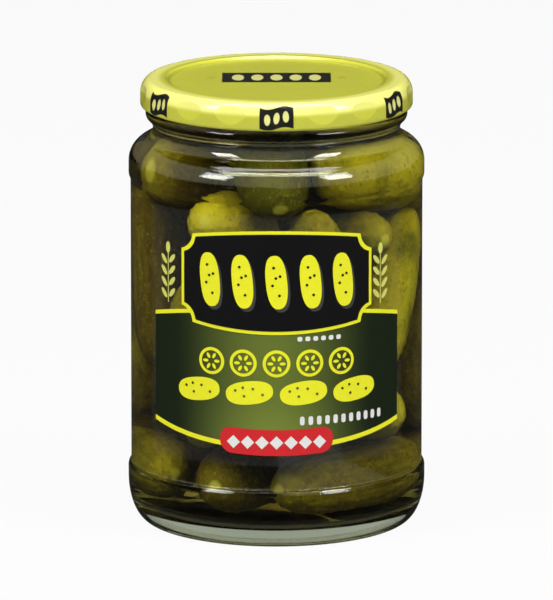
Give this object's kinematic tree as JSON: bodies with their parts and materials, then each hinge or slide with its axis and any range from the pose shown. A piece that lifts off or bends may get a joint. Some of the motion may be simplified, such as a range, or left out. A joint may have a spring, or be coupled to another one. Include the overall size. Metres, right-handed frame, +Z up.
{
  "type": "pickle jar",
  "caption": "Round clear glass jar of small whole pickles in brine, with a twist-off steel lid, a recessed band for a film label and a rounded heel.",
  "frame": {"origin": "centre of the ring that the jar stands on, in the plane of the surface under it", "axes": "+Z up along the jar's axis; the middle of the label faces -Y and +X is to the right as the label is read"},
  "size_m": [0.093, 0.093, 0.1407],
  "materials": {
    "clear_glass": "polished",
    "brine": "polished",
    "lid_enamel": "gloss",
    "label_film": "gloss",
    "label_print": "gloss",
    "pickle": "satin"
  },
  "bodies": {
    "root": {"glass_jar": "clear_glass", "brine": "brine", "twist_lid": "lid_enamel", "label_film": "label_film"}
  },
  "joints": []
}
